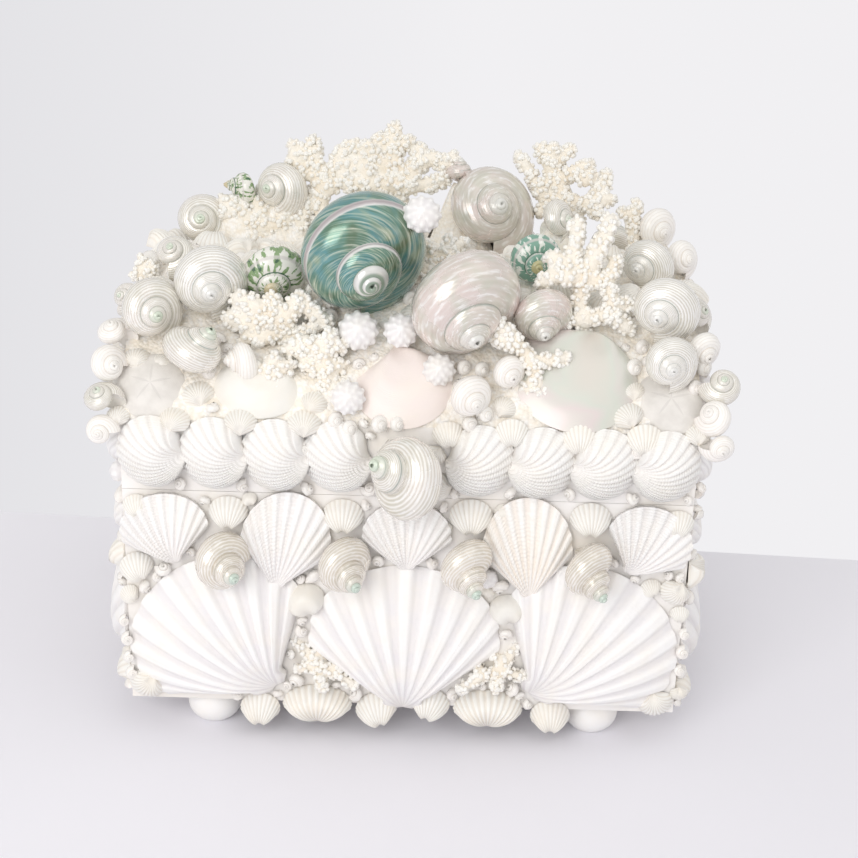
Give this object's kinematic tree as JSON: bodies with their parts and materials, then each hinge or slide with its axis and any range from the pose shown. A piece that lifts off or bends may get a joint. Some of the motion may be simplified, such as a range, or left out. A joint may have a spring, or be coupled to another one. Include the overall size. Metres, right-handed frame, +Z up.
{
  "type": "shell box",
  "caption": "Hollow painted wooden chest with a loose domed lid, covered all over with white scallops, cockles, nacre turban shells and branched coral, on small round feet.",
  "frame": {"origin": "centre of the underside of the whole object's bounding box, on the surface it stands on", "axes": "+X along the length to the right as seen from the front, +Y to the back, +Z up"},
  "size_m": [0.3668, 0.2926, 0.3473],
  "materials": {
    "painted_wood": "white brushed paint, satin",
    "white_shell": "bleached white shell, satin",
    "cream_nacre": "polished cream mother-of-pearl with silvery spiral lines",
    "green_nacre": "polished blue-green mother-of-pearl",
    "mottled_shell": "polished white shell with green mottles",
    "pink_clam": "satin white shell with a pink tint",
    "sand_dollar": "matt pale grey",
    "coral": "matt granular cream-white"
  },
  "bodies": {
    "root": {"back_scallop_left": "white_shell", "back_scallop_middle": "white_shell", "back_scallop_right": "white_shell", "back_turbans": "cream_nacre", "back_upper_scallops": "white_shell", "banded_turban": "mottled_shell", "bottom_cockle_left": "white_shell", "bottom_cockle_right": "white_shell", "box_base": "painted_wood", "coral_back": "coral", "coral_back_right": "coral", "coral_left": "coral", "coral_middle": "coral", "coral_right": "coral", "foot_back_left": "white_shell", "foot_back_right": "white_shell", "foot_front_left": "white_shell", "foot_front_right": "white_shell", "front_scallop_left": "white_shell", "front_scallop_middle": "white_shell", "front_scallop_right": "white_shell", "front_turban_1": "cream_nacre", "front_turban_2": "cream_nacre", "front_turban_3": "cream_nacre", "front_turban_4": "cream_nacre", "front_upper_scallop_1": "white_shell", "front_upper_scallop_2": "white_shell", "front_upper_scallop_3": "white_shell", "front_upper_scallop_4": "white_shell", "front_upper_scallop_5": "white_shell", "green_turban": "green_nacre", "handle_turban": "cream_nacre", "left_scallop_far": "white_shell", "left_scallop_near": "white_shell", "left_upper_scallops": "white_shell", "lid": "painted_wood", "lid_back_clams": "white_shell", "lid_back_cockles": "white_shell", "lid_front_cockles_left": "white_shell", "lid_front_cockles_right": "white_shell", "lid_left_cockles": "white_shell", "lid_right_cockles": "white_shell", "mottled_turban": "mottled_shell", "pale_clam": "white_shell", "pale_turban": "cream_nacre", "pearl_shell": "cream_nacre", "pearl_turban_back": "cream_nacre", "pearl_turban_front": "cream_nacre", "pink_clam": "pink_clam", "right_scallop_far": "white_shell", "right_scallop_near": "white_shell", "right_upper_scallops": "white_shell", "sand_dollar_left": "sand_dollar", "sand_dollar_right": "sand_dollar", "silver_turban_1": "cream_nacre", "silver_turban_2": "cream_nacre", "silver_turban_3": "cream_nacre", "silver_turban_4": "cream_nacre", "silver_turban_5": "cream_nacre", "silver_turbans_right": "cream_nacre"}
  },
  "joints": []
}
